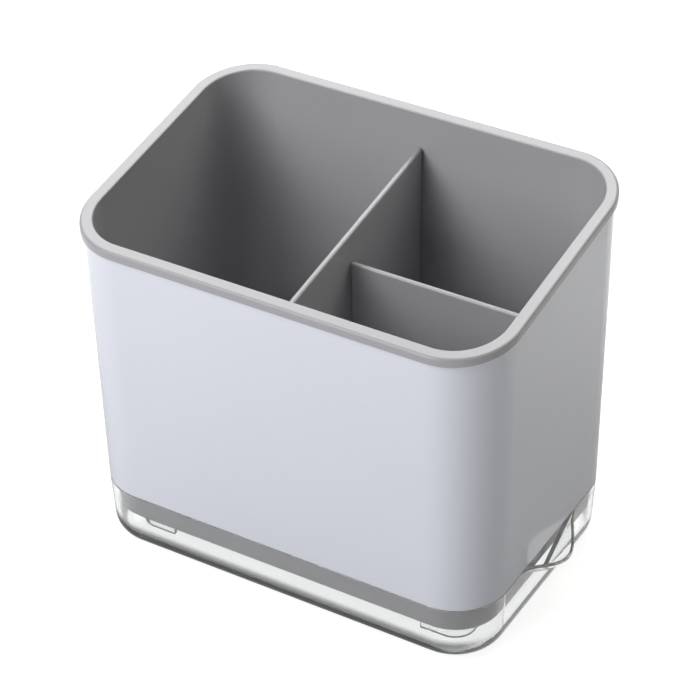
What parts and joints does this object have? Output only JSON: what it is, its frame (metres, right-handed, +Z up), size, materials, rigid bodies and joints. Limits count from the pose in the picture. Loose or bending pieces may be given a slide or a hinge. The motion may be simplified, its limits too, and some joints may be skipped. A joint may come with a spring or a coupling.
{
  "type": "chopstick drainer box",
  "caption": "Rounded utensil holder: a glossy sleeve and a slotted grey bin with lift-out dividers over a clear drip tray with a pouring spout.",
  "frame": {"origin": "middle of the drip tray's flat underside, where the box stands", "axes": "+Z up; +X towards the pouring spout, along the box's length; +Y towards the back, where the sloping rim is highest"},
  "size_m": [0.1815, 0.1164, 0.1571],
  "materials": {
    "shell": "glossy white moulded plastic",
    "bin": "satin grey moulded plastic",
    "tray": "clear moulded plastic"
  },
  "bodies": {
    "tray": {"drip_tray": "tray"},
    "shell": {"outer_shell": "shell"},
    "bin": {"inner_bin": "bin"},
    "long_panel": {"long_divider": "bin"},
    "short_panel": {"short_divider": "bin"}
  },
  "joints": [
    {"name": "shell_lift", "type": "slide", "parent": "tray", "child": "shell", "axis": [0, 0, 1], "range_m": [0, 0.04]},
    {"name": "bin_lift", "type": "slide", "parent": "shell", "child": "bin", "axis": [0, 0, 1], "range_m": [0, 0.145]},
    {"name": "long_divider_lift", "type": "slide", "parent": "bin", "child": "long_panel", "axis": [0, 0, 1], "range_m": [0, 0.145]},
    {"name": "short_divider_lift", "type": "slide", "parent": "bin", "child": "short_panel", "axis": [0, 0, 1], "range_m": [0, 0.135]}
  ]
}
